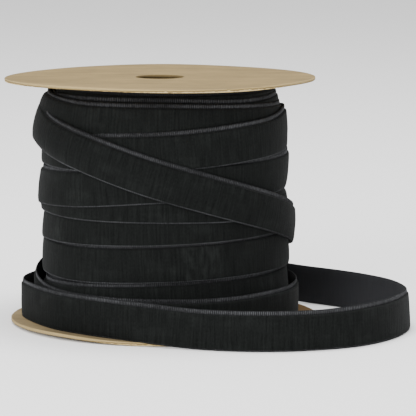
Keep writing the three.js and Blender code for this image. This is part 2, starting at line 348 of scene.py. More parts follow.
class Winding:
    """The turns of some rows, read at a place counted in turns from the first left side."""

    def __init__(self, heights, shapes):
        self.bumps = [
            dict(bump, place=i + bump["place"])
            for i, row in enumerate(heights) for bump in PULLS + CRUSHED if bump["turn"] == row["turn"]
        ]
        self.heights = listed(heights, SIDES)
        self.radii = listed(shapes, SHAPE[1:5])
        self.leans = listed(shapes, SHAPE[5:7])
        self.bows = listed(shapes, SHAPE[7:9])

    def local(self, places, part):
        """What the pulls or the crushing add up to at some places."""
        total = np.zeros(len(places))
        for bump in self.bumps:
            total += bump.get(part, 0) * np.exp(-((places - bump["place"]) / bump["reach"]) ** 2)
        return total

    def at(self, turns):
        """Height, radius, lean and bow at one place."""
        return (
            smooth(self.heights, turns * 8),
            smooth(self.radii, turns * 4),
            smooth(self.leans, turns * 2),
            smooth(self.bows, turns * 2),
        )


def unit(rows):
    return rows / np.linalg.norm(rows, axis=1, keepdims=True)


def directions(azimuths):
    """Level unit vectors from the axis."""
    return np.stack([np.cos(azimuths), np.sin(azimuths), np.zeros_like(azimuths)], 1)


def ramp(values, start, end):
    """0 up to start, 1 from end on, and evenly between them."""
    return np.clip((values - start) / (end - start), 0, 1)


def ribbon_path(low_line, outward, lean, bow, extra=0, crest=0, crush=0, closed=False):
    """The line along the middle of a ribbon, made from the one along its lower selvedge, with its
    outward and upward directions, its bow, the bow's crest, how crushed its pile is and how many times
    its width it is stretched to."""
    if closed:
        along = unit(np.roll(low_line, -1, 0) - np.roll(low_line, 1, 0))
    else:
        along = unit(np.gradient(low_line, axis=0))
    tilted = outward + UP * (lean / WIDTH)[:, None]
    tilted = unit(tilted - along * (tilted * along).sum(1)[:, None])
    rise = WIDTH / 2 / np.sqrt(1 - along[:, 2] ** 2) + extra / 2
    return {
        "centre": low_line + UP * rise[:, None] * MM,
        "outward": tilted,
        "upward": np.cross(tilted, along),
        "bow": bow * MM,
        "crest": crest + 0 * rise,
        "crush": crush + 0 * rise,
        "stretch": 1 + extra / WIDTH + 0 * rise,
        "closed": closed,
    }


def winding_path(winding, start, end, step, closed=False):
    """Points along the wound ribbon's middle, on top of its pile."""
    count = round((end - start) * 2 * math.pi * MEAN_RADIUS / step)
    places = np.linspace(start, end, count, endpoint=not closed)
    height, radius, lean, bow = np.array([winding.at(place) for place in places]).T
    outward = directions(math.pi * (1 + 2 * places))
    pulled = {part: winding.local(places, part) for part in ("out", "bow", "extra", "crest", "crush")}
    low = outward * (radius + pulled.pop("out"))[:, None] * MM + PACK_AXIS
    low[:, 2] = height * MM
    return ribbon_path(low, outward, lean, bow + pulled.pop("bow"), **pulled, closed=closed)


def mixed(p, q, start, end, t):
    """p at start, q at end, and the mix of them at t."""
    return (end - t) / (end - start) * p + (t - start) / (end - start) * q


def route(points, step, pieces=24):
    """A centripetal Catmull-Rom line through points, at even steps along its length."""
    ends = [2 * points[0] - points[1], *points, 2 * points[-1] - points[-2]]
    line = []
    for a, b, c, d in zip(ends, ends[1:], ends[2:], ends[3:]):
        knots = np.cumsum([0, *(np.sqrt(np.linalg.norm(q - p)) for p, q in ((a, b), (b, c), (c, d)))])
        for t in np.linspace(knots[1], knots[2], pieces, endpoint=False):
            ab = mixed(a, b, knots[0], knots[1], t)
            bc = mixed(b, c, knots[1], knots[2], t)
            cd = mixed(c, d, knots[2], knots[3], t)
            abc = mixed(ab, bc, knots[0], knots[2], t)
            bcd = mixed(bc, cd, knots[1], knots[3], t)
            line.append(mixed(abc, bcd, knots[1], knots[2], t))
    line = np.array([*line, points[-1]])
    run = np.concatenate([[0], np.cumsum(np.linalg.norm(np.diff(line, axis=0), axis=1))])
    places = np.linspace(0, run[-1], round(run[-1] / step) + 1)
    return np.stack([np.interp(places, run, line[:, k]) for k in range(3)], 1)


def tail_path(winding, step):
    """Points along the loose tail's middle, on top of its pile, from where the crossing turn ends."""
    height, radius, lean, bow = winding.at(CROSSING_END)
    middle = THICKNESS / 2
    angle = math.radians(CROSSING_END_AZIMUTH)
    start = np.array([math.cos(angle), math.sin(angle), 0]) * (radius - middle)
    points = [start + np.array([PACK_AXIS_X / MM, 0, height])]
    for row in TAIL_TURN:
        angle = math.radians(row["azimuth"])
        x, y = row["radius"] * math.cos(angle), row["radius"] * math.sin(angle)
        points.append(np.array([x, y, row["low"]]))
    points += [np.array([row["x"], row["y"], row["low"]], float) for row in TAIL_LOOP]
    low = route(points, step)
    along = np.gradient(low, axis=0)
    outward = unit(np.stack([along[:, 1], -along[:, 0], np.zeros(len(low))], 1))
    low += outward * middle
    low[:, 2] = np.maximum(low[:, 2], 0)
    fading = np.exp(-np.arange(len(low)) * step / TAIL_SETTLES)
    taller = LOOP_STRETCH * ramp(low[:, 0], *LOOP_STRETCH_X) * ramp(-low[:, 1], *LOOP_STRETCH_FRONT)
    leaning = LOOP_LEAN * ramp(low[:, 0], *LOOP_LEAN_X)
    low[:, 2] += leaning * THICKNESS / WIDTH
    low = low * MM + np.array([SPOOL_X, SPOOL_Y, 0])
    return ribbon_path(low, outward, lean * fading + leaning, bow * fading, taller)


def spiral_path(pitch):
    """The hidden turns under the top flange, as one spiral. Each stands a little higher or lower."""
    turns = (SPIRAL_OUTER - SPIRAL_INNER) / pitch
    count = round(turns * math.pi * (SPIRAL_INNER + SPIRAL_OUTER) / SPIRAL_STEP)
    places = np.linspace(0, turns, count)
    outward = directions(2 * math.pi * places)
    line = outward * (SPIRAL_INNER + pitch * places)[:, None]
    line[:, 2] = SPIRAL_LOW + 0.5 * np.sin(places * 2.4) + 0.3 * np.sin(places * 7.1)
    return ribbon_path(line * MM + PACK_AXIS, outward, np.zeros(count), np.zeros(count))


# Node trees
class Value:
    """A socket of a node tree, used in Python expressions that add its Math nodes."""

    def __init__(self, graph, socket):
        self.graph = graph
        self.socket = socket

    def math(self, operation, *others):
        return self.graph.node("ShaderNodeMath", {"operation": operation}, [self, *others])

    def __add__(self, other):
        return self.math("ADD", other)

    def __sub__(self, other):
        return self.math("SUBTRACT", other)

    def __rsub__(self, other):
        return self.graph.node("ShaderNodeMath", {"operation": "SUBTRACT"}, [other, self])

    def __mul__(self, other):
        return self.math("MULTIPLY", other)

    def __truediv__(self, other):
        return self.math("DIVIDE", other)

    __radd__ = __add__
    __rmul__ = __mul__

    def clamp(self):
        return self.graph.node("ShaderNodeMath", {"operation": "ADD", "use_clamp": True}, [self, 0.0])

    def above(self, edge, width):
        """0 below edge, 1 above it, over a soft width."""
        return ((self - edge) / width + 0.5).clamp()


class Graph:
    """Adds nodes to a tree: their settings first, then the values or links of their sockets."""

    def __init__(self, tree):
        self.tree = tree

    def node(self, kind, settings=None, inputs=(), output=0):
        made = self.tree.nodes.new(kind)
        for name, setting in (settings or {}).items():
            setattr(made, name, setting)
        for key, value in inputs.items() if isinstance(inputs, dict) else enumerate(inputs):
            self.feed(made.inputs[key], value)
        return Value(self, made.outputs[output]) if made.outputs else made

    def feed(self, socket, value):
        if isinstance(value, Value):
            self.tree.links.new(value.socket, socket)
        else:
            socket.default_value = value

    def vector(self, x, y, z=0.0):
        return self.node("ShaderNodeCombineXYZ", {}, [x, y, z])

    def noise(self, vector, scale=1.0, detail=2.0, roughness=0.5):
        inputs = {"Vector": vector, "Scale": scale, "Detail": detail, "Roughness": roughness}
        return self.node("ShaderNodeTexNoise", {"noise_dimensions": "3D"}, inputs)

    def blend(self, factor, a, b):
        """A mix of two colours, which are the Mix node's seventh and eighth sockets."""
        return self.node("ShaderNodeMix", {"data_type": "RGBA"}, {"Factor": factor, 6: a, 7: b}, 2)


def tinted(colour, tint):
    return (*(part * share for part, share in zip(colour, tint)), 1.0)


def scaled(colour, share):
    return tinted(colour, (share,) * 3)


def waves(value):
    """Even waves of a value, from 0 to 1."""
    return 0.5 + 0.5 * value.math("SINE")


class Finish:
    """A new material with one Principled shader, fed by expressions."""

    def __init__(self, name, **constants):
        self.material = bpy.data.materials.new(name)
        self.material.use_nodes = True
        self.graph = Graph(self.material.node_tree)
        self.shader = self.material.node_tree.nodes["Principled BSDF"]
        for socket, value in constants.items():
            self.shader.inputs[socket.replace("_", " ")].default_value = value

    def attribute(self, name):
        return self.graph.node("ShaderNodeAttribute", {"attribute_name": name}, [], "Fac")

    def place(self, scale):
        made = self.graph.node("ShaderNodeTexCoord", {}, [], "Object")
        return self.graph.node("ShaderNodeMapping", {}, {"Vector": made, "Scale": scale})

    def coordinate(self, axis):
        made = self.graph.node("ShaderNodeTexCoord", {}, [], "Object")
        return self.graph.node("ShaderNodeSeparateXYZ", {}, [made], axis)

    def feed(self, socket, value):
        self.graph.feed(self.shader.inputs[socket], value)

    def shades(self, tone, colour, darkest, lightest):
        """Shades of one colour, from darkest to lightest as tone goes from 0 to 1."""
        self.feed("Base Color", self.graph.blend(tone, scaled(colour, darkest), scaled(colour, lightest)))

    def bump(self, height, distance, strength=1.0):
        inputs = {"Height": height, "Distance": distance, "Strength": strength}
        self.feed("Normal", self.graph.node("ShaderNodeBump", {}, inputs))


def pile_material(name, colours):
    """Cut pile: near black, faint ribs across the ribbon, crushed patches that catch the light."""
    finish = Finish(
        name, Roughness=1.0, Specular_IOR_Level=0.03,
        Sheen_Weight=colours.sheen, Sheen_Roughness=0.42, Sheen_Tint=(0.85, 0.86, 0.88, 1),
    )
    graph = finish.graph
    along = finish.attribute("along")
    across = finish.attribute("across")
    ribs = graph.noise(graph.vector(along * 1.0, across * 0.05), detail=3.0, roughness=0.68)
    fine = graph.noise(graph.vector(along * 1.9, across * 0.9, 4.0), detail=2.0)
    patches = graph.noise(graph.vector(along * 0.045, across * 0.11, 9.0), detail=3.0, roughness=0.6)
    crushed = patches.above(0.64, 0.22)
    streak = ribs.above(0.5, 0.3)
    smear = graph.noise(graph.vector(along * 0.5, across * 0.16, 17.0), detail=3.0).above(0.52, 0.25)
    pressed = finish.attribute("crush") * smear * 0.85
    tone = (0.3 * streak + 0.6 * (fine - 0.3) + 0.45 * crushed * ribs + pressed).clamp()
    finish.shades(tone, colours.pile, 0.62, 2.9)
    finish.bump(ribs * 0.7 + fine * 0.3, 0.35 * MM, 0.8)
    return finish.material


def selvedge_material(name, colours):
    """Woven edge: grey weft over darker warp."""
    finish = Finish(name, Roughness=0.85, Specular_IOR_Level=0.06)
    graph = finish.graph
    along = finish.attribute("along")
    across = finish.attribute("across")
    weft = waves(along * (2 * math.pi / SELVEDGE_WEFT) + across * 1.4)
    wear = graph.noise(graph.vector(along * 0.12, across * 0.3, 2.0), detail=3.0)
    finish.shades((weft * 0.6 + wear * 0.5).clamp(), colours.selvedge, 0.12, 0.55)
    finish.bump(weft, 0.12 * MM, 0.7)
    return finish.material


def weft_material(name, colours):
    """The picks that cross the selvedges, paler and darker by stretches and one by one."""
    finish = Finish(name, Roughness=0.75, Specular_IOR_Level=0.1)
    graph = finish.graph
    stretch = graph.noise(finish.place((32, 32, 32)), detail=2.0)
    each = graph.noise(finish.place((1100, 1100, 1100)), detail=1.0)
    finish.shades((stretch * 1.7 + each * 1.3 - 1.06).clamp(), colours.selvedge, 0.4, 2.1)
    return finish.material


def back_material(name, colours):
    """The smooth woven back."""
    finish = Finish(name, Roughness=0.8, Specular_IOR_Level=0.15)
    graph = finish.graph
    along = finish.attribute("along")
    across = finish.attribute("across")
    weft = waves(along * (2 * math.pi / BACK_WEFT))
    slubs = graph.noise(graph.vector(along * 0.9, across * 0.08), detail=3.0)
    finish.shades((slubs * 0.8).clamp(), colours.back, 0.75, 1.35)
    finish.bump(weft * 0.5 + slubs * 0.5, 0.06 * MM, 0.6)
    return finish.material


def board_material(name, colour, painted_shade=False):
    """Grey-brown unbleached board: long streaks, mottling, short fibres and small darker flecks. Where it
    is asked for, the colour is darkened to the right of a place, as painted shade, and further right
    turned a darker brown, as a painted shadow."""
    finish = Finish(name, Roughness=0.88, Specular_IOR_Level=0.25)
    graph = finish.graph
    streaks = graph.noise(finish.place((14, 190, 190)), detail=3.0, roughness=0.6)
    fibres = graph.noise(finish.place((160, 1500, 1500)), detail=3.0, roughness=0.65)
    mottle = graph.noise(finish.place((45, 45, 45)), detail=4.0, roughness=0.6)
    flecks = graph.noise(finish.place((1100, 1700, 1700)), detail=1.0).above(0.68, 0.08)
    tone = ((streaks + mottle + fibres * 0.8 - 1.4) * 1.6 + 0.5).clamp()
    plain = graph.blend(tone, scaled(colour, 0.78), scaled(colour, 1.22))
    if painted_shade:
        right = finish.coordinate("X")
        # Painted shade next to the tail and under the top flange
        painted_shade_share = ((right - PAINTED_SHADE_FROM) / PAINTED_SHADE_OVER + mottle - 0.5).clamp() * 0.6
        plain = graph.blend(painted_shade_share, plain, scaled(colour, 0.42))
        # Painted shadow of the tail's loop and the roll, in a darker brown
        brown = ((right - PAINTED_SHADOW_FROM) / PAINTED_SHADOW_OVER + mottle - 0.5).clamp()
        plain = graph.blend(brown, plain, tinted(colour, PAINTED_SHADOW_TINT))
    finish.feed("Base Color", graph.blend(flecks * 0.3, plain, scaled(colour, 0.45)))
    finish.bump(fibres * 0.6 + mottle * 0.4, 0.12 * MM, 0.5)
    return finish.material


def cut_material(name, face, cut, bottom):
    """The die-cut rim: pale torn liners above and below a band of grey-brown plies."""
    finish = Finish(name, Roughness=0.92, Specular_IOR_Level=0.2)
    graph = finish.graph
    height = (finish.coordinate("Z") - bottom) / BOARD
    plies = graph.noise(finish.place((120, 120, 5200)), detail=2.0)
    torn = graph.noise(finish.place((420, 420, 60)), detail=3.0, roughness=0.65)
    low_liner = 1 - (height + (torn - 0.5) * 1.5).above(0.42, 0.2)
    high_liner = (height + (torn - 0.5) * 0.6).above(0.84, 0.14) * 0.45
    plain = graph.blend(plies, scaled(face, 0.7), scaled(face, 1.05))
    finish.feed("Base Color", graph.blend((low_liner + high_liner).clamp(), plain, scaled(cut, 1.0)))
    finish.bump(plies + torn, 0.2 * MM, 0.7)
    return finish.material


# Meshes from paths
def on_points(mesh, name, values, kind="FLOAT"):
    """Stores a value or a direction at every point of a mesh."""
    field = "vector" if kind == "FLOAT_VECTOR" else "value"
    mesh.attributes.new(name, kind, "POINT").data.foreach_set(field, values)


def path_object(path):
    """A line of edges that carries the ribbon's directions, bow, stretch and length so far."""
    centre = path["centre"]
    count = len(centre)
    edges = [(i, i + 1) for i in range(count - 1)]
    if path["closed"]:
        edges.append((count - 1, 0))
    mesh = bpy.data.meshes.new("path")
    mesh.from_pydata(centre.tolist(), edges, [])
    for name in ("outward", "upward"):
        on_points(mesh, name, path[name].ravel(), "FLOAT_VECTOR")
    for name in ("bow", "crest", "crush", "stretch"):
        on_points(mesh, name, path[name])
    steps = np.linalg.norm(np.diff(centre, axis=0), axis=1)
    on_points(mesh, "along", np.concatenate([[0], np.cumsum(steps)]) / MM)
    return linked("path", mesh)


def section_object():
    """The ribbon's section as a closed line: x is lift from the pile's top, y is across."""
    points = [((row["lift"] - THICKNESS) * MM, -row["across"] * MM, 0) for row in SECTION]
    edges = [(i, (i + 1) % len(points)) for i in range(len(points))]
    mesh = bpy.data.meshes.new("section")
    mesh.from_pydata(points, edges, [])
    for name in ("across", "lift", "part"):
        on_points(mesh, name, [row[name] for row in SECTION])
    return linked("section", mesh)


def linked(name, mesh):
    made = bpy.data.objects.new(name, mesh)
    bpy.context.scene.collection.objects.link(made)
    return made


def new_tree(name, inputs):
    """A Geometry Nodes tree with named inputs. inputs gives each one's name and socket type."""
    tree = bpy.data.node_groups.new(name, "GeometryNodeTree")
    tree.interface.new_socket("Geometry", in_out="INPUT", socket_type="NodeSocketGeometry")
    tree.interface.new_socket("Geometry", in_out="OUTPUT", socket_type="NodeSocketGeometry")
    for label, kind in inputs:
        tree.interface.new_socket(label, in_out="INPUT", socket_type="NodeSocket" + kind)
    graph = Graph(tree)
    entry = graph.node("NodeGroupInput").socket.node
    given = {socket.name: Value(graph, socket) for socket in entry.outputs if socket.name}
    return graph, given


def end_tree(graph, geometry, *materials):
    """Realizes the geometry, gives it its materials, each with the faces that it goes on, and ends."""
    made = graph.node("GeometryNodeRealizeInstances", {}, [geometry])
    for material, faces in materials:
        inputs = {"Geometry": made, "Material": material, "Selection": faces}
        made = graph.node("GeometryNodeSetMaterial", {}, inputs)
    graph.node("NodeGroupOutput", {}, [made])
    return graph.tree


def named(graph, name, kind="FLOAT"):
    return graph.node("GeometryNodeInputNamedAttribute", {"data_type": kind}, {"Name": name})


def vector_sum(graph, a, b):
    return graph.node("ShaderNodeVectorMath", {"operation": "ADD"}, [a, b])


def vector_times(graph, vector, factor):
    inputs = {"Vector": vector, "Scale": factor}
    return graph.node("ShaderNodeVectorMath", {"operation": "SCALE"}, inputs)


def bow_at(graph, across, half_width):
    """How far the bow sets a place back: nothing at its crest, and all of it at both edges."""
    crest = named(graph, "crest")
    from_crest = across - crest
    share = from_crest / (half_width - from_crest.math("SIGN") * crest)
    return named(graph, "bow") * share * share


def as_curve(graph, geometry):
    """The path mesh as a curve that keeps its own outward direction as its normal."""
    curve = graph.node("GeometryNodeMeshToCurve", {}, [geometry])
    inputs = {"Curve": curve, "Normal": named(graph, "outward", "FLOAT_VECTOR")}
    return graph.node("GeometryNodeSetCurveNormal", {"mode": "FREE"}, inputs)


def ribbon_tree():
    """Sweeps the ribbon's section along a path, bows it and makes its pile a little uneven."""
    graph, given = new_tree("ribbon along a path", [
        ("Section", "Object"), ("Half width", "Float"), ("Unevenness", "Float"), ("Seed", "Float"),
        ("Pile", "Material"), ("Selvedge", "Material"), ("Back", "Material"),
    ])
    section = graph.node("GeometryNodeObjectInfo", {}, {"Object": given["Section"]}, "Geometry")
    profile = graph.node("GeometryNodeMeshToCurve", {}, [section])
    inputs = {"Curve": as_curve(graph, given["Geometry"]), "Profile Curve": profile, "Fill Caps": True}
    swept = graph.node("GeometryNodeCurveToMesh", {}, inputs)
    across = named(graph, "across")
    along = named(graph, "along")
    wave = graph.noise(graph.vector(along * 0.11, across * 0.16, given["Seed"]), detail=3.0) - 0.5
    grain = graph.noise(graph.vector(along * 0.7, across * 0.12, given["Seed"] + 7.0), detail=1.0) - 0.5
    proud = ((named(graph, "lift") - SELVEDGE_LIFT) / (THICKNESS - SELVEDGE_LIFT)).clamp()
    push = given["Unevenness"] * proud * (wave * 1.6 + grain) - bow_at(graph, across, given["Half width"])
    outwards = vector_times(graph, named(graph, "outward", "FLOAT_VECTOR"), push)
    stretched = across * (named(graph, "stretch") - 1.0) * MM
    upwards = vector_times(graph, named(graph, "upward", "FLOAT_VECTOR"), stretched)
    inputs = {"Geometry": swept, "Offset": vector_sum(graph, outwards, upwards)}
    moved = graph.node("GeometryNodeSetPosition", {}, inputs)
    rounded = graph.node("GeometryNodeSetShadeSmooth", {}, [moved])
    part = named(graph, "part")
    on_edge, on_back = (
        graph.node("FunctionNodeCompare", {"operation": "LESS_THAN"}, [part, number + PART_MARGIN])
        for number in (EDGE, BACK)
    )
    dressed = (given["Pile"], True), (given["Selvedge"], on_edge), (given["Back"], on_back)
    return end_tree(graph, rounded, *dressed)


def pick_tree():
    """Sets a small rounded weft pick across each selvedge at every step of a path."""
    graph, given = new_tree("weft picks on the selvedges", [
        ("Pitch", "Float"), ("Half width", "Float"), ("Breadth", "Float"), ("Height", "Float"),
        ("Upper place", "Float"), ("Upper drop", "Float"), ("Upper length", "Float"),
        ("Lower place", "Float"), ("Lower drop", "Float"), ("Lower length", "Float"),
        ("Seed", "Int"), ("Weft", "Material"),
    ])
    inputs = {"Curve": as_curve(graph, given["Geometry"]), "Length": given["Pitch"]}
    even = graph.node("GeometryNodeResampleCurve", {"mode": "LENGTH"}, inputs)
    outward = named(graph, "outward", "FLOAT_VECTOR")
    upward = named(graph, "upward", "FLOAT_VECTOR")
    axes = {"primary_axis": "Z", "secondary_axis": "X"}
    tangent = graph.node("GeometryNodeInputTangent")
    turn = graph.node("FunctionNodeAxesToRotation", axes, [outward, tangent])
    inputs = {"Min": 1 - PICK_JITTER, "Max": 1 + PICK_JITTER, "Seed": given["Seed"]}
    jitter = graph.node("FunctionNodeRandomValue", {"data_type": "FLOAT"}, inputs, 1)
    ball = graph.node("GeometryNodeMeshIcoSphere", {}, {"Radius": 0.5, "Subdivisions": 1})
    joined = graph.node("GeometryNodeJoinGeometry")
    for side in ("Upper ", "Lower "):
        across = given[side + "place"]
        size = graph.vector(given["Breadth"] * jitter, given[side + "length"] * jitter, given["Height"])
        sideways = vector_times(graph, upward, across * named(graph, "stretch") * MM)
        drop = given[side + "drop"] + bow_at(graph, across, given["Half width"])
        back = vector_times(graph, outward, drop * -1.0)
        inputs = {"Geometry": even, "Offset": vector_sum(graph, sideways, back)}
        rail = graph.node("GeometryNodeSetPosition", {}, inputs)
        inputs = {"Points": rail, "Instance": ball, "Rotation": turn, "Scale": size}
        picks = graph.node("GeometryNodeInstanceOnPoints", {}, inputs)
        graph.feed(joined.socket.node.inputs[0], picks)
    rounded = graph.node("GeometryNodeSetShadeSmooth", {}, [joined])
    return end_tree(graph, rounded, (given["Weft"], True))


def from_nodes(name, source, tree, inputs):
    """The plain mesh that a tree makes of a source object, which is removed."""
    modifier = source.modifiers.new("build", "NODES")
    modifier.node_group = tree
    for item in tree.interface.items_tree:
        if item.in_out == "INPUT" and item.name in inputs:
            modifier[item.identifier] = inputs[item.name]
    depsgraph = bpy.context.evaluated_depsgraph_get()
    mesh = bpy.data.meshes.new_from_object(source.evaluated_get(depsgraph), depsgraph=depsgraph)
    mesh.name = name
    bpy.data.objects.remove(source)
    return linked(name, mesh)


def settle(piece, slot, *replaced):
    """Every piece rides on the one body, and the imported parts that it replaces are hidden. The slot is
    not used.
    """
    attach(piece, ROOT)
    if replaced:
        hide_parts(*replaced)


def revolved(name, outline, centre, segments, shape=None):
    """A closed ring turned from an outline of (radius, height, part), shaped by a function."""
    verts = []
    for i in range(segments):
        angle = 2 * math.pi * i / segments
        for radius, height, _ in outline:
            r, z = shape(radius, height, angle) if shape else (radius, height)
            verts.append((centre[0] + r * math.cos(angle), centre[1] + r * math.sin(angle), z))
    count = len(outline)
    faces = []
    for i in range(segments):
        here, there = i * count, ((i + 1) % segments) * count
        for j in range(count):
            k = (j + 1) % count
            faces.append((here + j, there + j, there + k, here + k))
    mesh = bpy.data.meshes.new(name)
    mesh.from_pydata(verts, [], faces)
    slots = [("face", "cut", "hole").index(part) for _, _, part in outline]
    mesh.polygons.foreach_set("material_index", slots * segments)
    mesh.shade_smooth()
    return linked(name, mesh)


def wobble(angle, seed, detail):
    """A seamless value round a circle, about -1 to 1."""
    place = Vector((math.cos(angle) * detail, math.sin(angle) * detail, seed))
    return noise.noise(place) * 1.6


def upper_warp(share, angle):
    """How far the upper board stands up, at a share of the way from its hole to its rim."""
    ring = UPPER_WARP[-1:] + UPPER_WARP + UPPER_WARP[:2]
    return share * share * smooth(ring, 1 + angle / (2 * math.pi) * len(UPPER_WARP))


def lower_curl(radius, rim, angle):
    """What share of its full curl the lower board has at a radius."""
    start = CURL_START * MM
    turn = math.degrees(angle) % 360 - CURL_AZIMUTH
    turn /= CURL_REACH_FRONT if turn > 0 else CURL_REACH_LEFT
    return max(0, (radius - start) / (rim - start)) ** 2 * math.exp(-turn * turn)


# Sizes and colours that a user would change
def length(name, description, default):
    return FloatProperty(name=name, description=description, default=default, unit="LENGTH")


def colour(name, description, default):
    return FloatVectorProperty(
        name=name, description=description, default=default, subtype="COLOR", size=3)


class SpoolSizes(bpy.types.PropertyGroup):
    hole: length("Hole", "Radius of the hole in each flange", 11.8 * MM)
    rag: length("Rag", "How ragged the die-cut rims are", 0.10 * MM)
    warp: length("Warp", "Scale of the upper board's warp", 1 * MM)
    curl: length("Curl", "How far the lower rim curls up at the front left", 1.5 * MM)
    segments: IntProperty(name="Segments", description="Steps round each flange", default=288, min=3)


class RibbonSizes(bpy.types.PropertyGroup):
    step: FloatProperty(
        name="Step", description="Distance between sections along a turn, in millimetres",
        default=1.6, min=0.4)
    pick_pitch: length("Pick pitch", "Spacing of the weft picks", 0.95 * MM)
    unevenness: length("Unevenness", "How uneven the pile stands", 0.22 * MM)
    spiral_pitch: FloatProperty(
        name="Spiral pitch", description="Build-up of each hidden turn, in millimetres",
        default=1.6, min=0.5)


class Colours(bpy.types.PropertyGroup):
    pile: colour("Pile", "Cut pile", (0.0055, 0.0061, 0.0058))
    selvedge: colour("Selvedge", "Woven edge", (0.033, 0.0337, 0.0358))
    back: colour("Back", "Smooth woven back", (0.0155, 0.016, 0.018))
    board: colour("Board", "Face of the flanges", (0.195, 0.137, 0.055))
    cut: colour("Cut edge", "Pale torn liner at the rims", (0.50, 0.38, 0.19))
    tube: colour("Tube", "Core tube", (0.17, 0.115, 0.062))
    sheen: FloatProperty(name="Sheen", description="Sheen of the pile", default=0.045, min=0, max=1)


class StageSettings(bpy.types.PropertyGroup):
    lens: FloatProperty(
        name="Lens", description="Focal length on a 36 mm sensor", default=232.1, unit="CAMERA")
    world: FloatProperty(
        name="World", description="Strength of the even white surround", default=1.05)
    floor: colour("Floor", "Pale floor", (0.93, 0.93, 0.93))


class RollSettings(bpy.types.PropertyGroup):
    spool: PointerProperty(type=SpoolSizes)
    ribbon: PointerProperty(type=RibbonSizes)
    colours: PointerProperty(type=Colours)
    stage: PointerProperty(type=StageSettings)


def velvet(part, maker, settings):
    """One of the ribbon's materials, which are made once and shared."""
    name = "velvet " + part
    return bpy.data.materials.get(name) or maker(name, settings.colours)


def ribbon_piece(name, path, settings):
    tree = bpy.data.node_groups.get("ribbon along a path") or ribbon_tree()
    return from_nodes(name, path_object(path), tree, {
        "Section": bpy.data.objects.get("section") or section_object(),
        "Half width": WIDTH / 2,
        "Unevenness": settings.ribbon.unevenness,
        "Seed": float(SEEDS[name]),
        "Pile": velvet("pile", pile_material, settings),
        "Selvedge": velvet("selvedge", selvedge_material, settings),
        "Back": velvet("back", back_material, settings),
    })


def picks_piece(name, path, settings, lower_length=LOWER_PICK_LENGTH):
    tree = bpy.data.node_groups.get("weft picks on the selvedges") or pick_tree()
    return from_nodes(name, path_object(path), tree, {
        "Pitch": settings.ribbon.pick_pitch,
        "Half width": WIDTH / 2,
        "Breadth": PICK_BREADTH * MM,
        "Height": PICK_HEIGHT * MM,
        "Upper place": UPPER_PICK_PLACE,
        "Upper drop": (THICKNESS - SELVEDGE_LIFT) * MM,
        "Upper length": UPPER_PICK_LENGTH * MM,
        "Lower place": lower_length * LOWER_PICK_INSET - WIDTH / 2,
        "Lower drop": LOWER_PICK_DROP * MM,
        "Lower length": lower_length * MM,
        "Seed": SEEDS[name],
        "Weft": velvet("weft", weft_material, settings),
    })


class SPOOL_OT_flanges(bpy.types.Operator):
    """Make both board flanges"""

    bl_idname = "velvet_roll.flanges"
    bl_label = "Board flanges"

    def execute(self, context):
        spool, colours = context.scene.velvet_roll.spool, context.scene.velvet_roll.colours
        # The hole's wall takes a darker copy of the board colour
        hole = board_material("hole wall", scaled(colours.board, 0.62))
        flanges = (
            # The lower face takes a lighter, greyer copy of the board colour: painted light against the
            # top flange's shade
            ("lower_flange", "flange_bottom", tinted(colours.board, LOWER_PAINTED_LIGHT_TINT)),
            ("upper_flange", "flange_top", colours.board),
        )
        for name, node, face in flanges:
            piece = self.flange(name, node, spool)
            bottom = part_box(node)[0].z
            finishes = piece.data.materials
            finishes.append(board_material("face of " + name, face, node == "flange_bottom"))
            finishes.append(cut_material("cut edge of " + name, colours.board, colours.cut, bottom))
            finishes.append(hole)
            settle(piece, "flange_board", node)
        return {"FINISHED"}

    def flange(self, name, node, spool):
        seed = SEEDS[name]
        low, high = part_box(node)
        bottom, top = low.z, high.z
        rim, hole = (high.x - low.x) / 2, spool.hole
        centre = ((low.x + high.x) / 2, (low.y + high.y) / 2)
        inner, outer = hole + 3 * BEVEL, rim - 3 * BEVEL
        rings = [inner + (outer - inner) * k / FACE_RINGS for k in range(FACE_RINGS + 1)]
        outline = [
            (hole + BEVEL, bottom, "face"),
            *((r, bottom, "face") for r in rings),
            (rim - BEVEL, bottom, "cut"),
            (rim, bottom + BEVEL, "cut"),
            (rim, (bottom + top) / 2, "cut"),
            (rim, top - BEVEL, "cut"),
            (rim - BEVEL, top, "face"),
            *((r, top, "face") for r in reversed(rings)),
            (hole + BEVEL, top, "hole"),
            (hole, top - BEVEL, "hole"),
            (hole, bottom + BEVEL, "hole"),
        ]

        def shape(r, z, angle):
            share = (r - hole) / (rim - hole)
            if r > rim - 2 * BEVEL or r < hole + 2 * BEVEL:
                fine = wobble(angle, seed + z * 900, 26)
                r += spool.rag * (fine * 0.8 - 0.5 + 0.5 * wobble(angle, seed, 6))
            if node == "flange_top":
                return r, z + spool.warp * upper_warp(share, angle)
            return r, z + spool.curl * lower_curl(r, rim, angle)

        return revolved(name, outline, centre, spool.segments, shape)


class SPOOL_OT_core(bpy.types.Operator):
    """Make the spiral-wound core tube"""

    bl_idname = "velvet_roll.core"
    bl_label = "Core tube"

    def execute(self, context):
        bore = CORE_RADIUS - CORE_WALL
        heights = np.linspace(CORE_LOW.z, CORE_HIGH.z, CORE_RINGS)
        outline = [(CORE_RADIUS, z, "face") for z in heights] + [(bore, z, "face") for z in heights[::-1]]

        def shape(r, z, angle):
            seam = (z / SEAM_RISE - angle / (2 * math.pi)) % 1
            depth = math.exp(-(min(seam, 1 - seam) * SEAM_RISE / SEAM_REACH) ** 2) * SEAM_DEPTH
            return (r - depth if r > bore + CORE_WALL / 2 else r + depth), z

        piece = revolved("core", outline, (SPOOL_X, SPOOL_Y), CORE_SEGMENTS, shape)
        piece.data.materials.append(board_material("tube board", context.scene.velvet_roll.colours.tube))
        settle(piece, "core_board", "core_tube")
        return {"FINISHED"}


